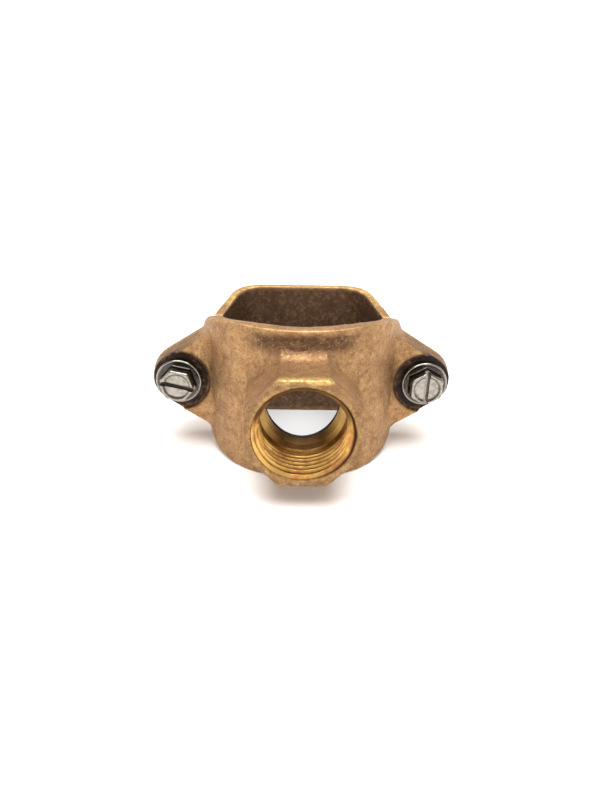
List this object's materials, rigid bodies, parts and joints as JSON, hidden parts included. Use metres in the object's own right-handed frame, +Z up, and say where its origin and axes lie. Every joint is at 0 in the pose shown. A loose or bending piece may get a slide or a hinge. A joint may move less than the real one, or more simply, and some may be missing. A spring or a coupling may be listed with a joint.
{
  "type": "tapping saddle",
  "caption": "Cast bronze tapping saddle: an octagonal threaded outlet half and a back half, drawn round a pipe by slotted hex-head screws.",
  "frame": {"origin": "where the axis of a pipe seated in the outlet half meets the axis of the outlet", "axes": "+Z up along the pipe, -Y out of the outlet, +X to the right-hand screw seen from the outlet"},
  "size_m": [0.0932, 0.0629, 0.0458],
  "materials": {
    "bronze": "sand cast, machined in the outlet",
    "rubber": "matt",
    "stainless_steel": "bright"
  },
  "bodies": {
    "saddle": {"outlet_half": "bronze", "gasket": "rubber"},
    "back": {"back_half": "bronze"},
    "left_fastener": {"left_screw": "stainless_steel"},
    "right_fastener": {"right_screw": "stainless_steel"}
  },
  "joints": [
    {"name": "back_slide", "type": "slide", "parent": "saddle", "child": "back", "axis": [0, 1, 0], "range_m": [0, 0.011]},
    {"name": "left_screw_turn", "type": "hinge", "parent": "saddle", "child": "left_fastener", "pos_m": [-0.0375, -0.0088, 0], "axis": [0, 1, 0], "range_deg": [-3120, 0]},
    {"name": "right_screw_turn", "type": "hinge", "parent": "saddle", "child": "right_fastener", "pos_m": [0.0375, -0.0088, 0], "axis": [0, 1, 0], "range_deg": [-3120, 0]}
  ],
  "couplings": [
    {"joint": "left_screw_turn", "follows": "back_slide", "rad_per_m": -4947.4},
    {"joint": "right_screw_turn", "follows": "back_slide", "rad_per_m": -4947.4}
  ]
}
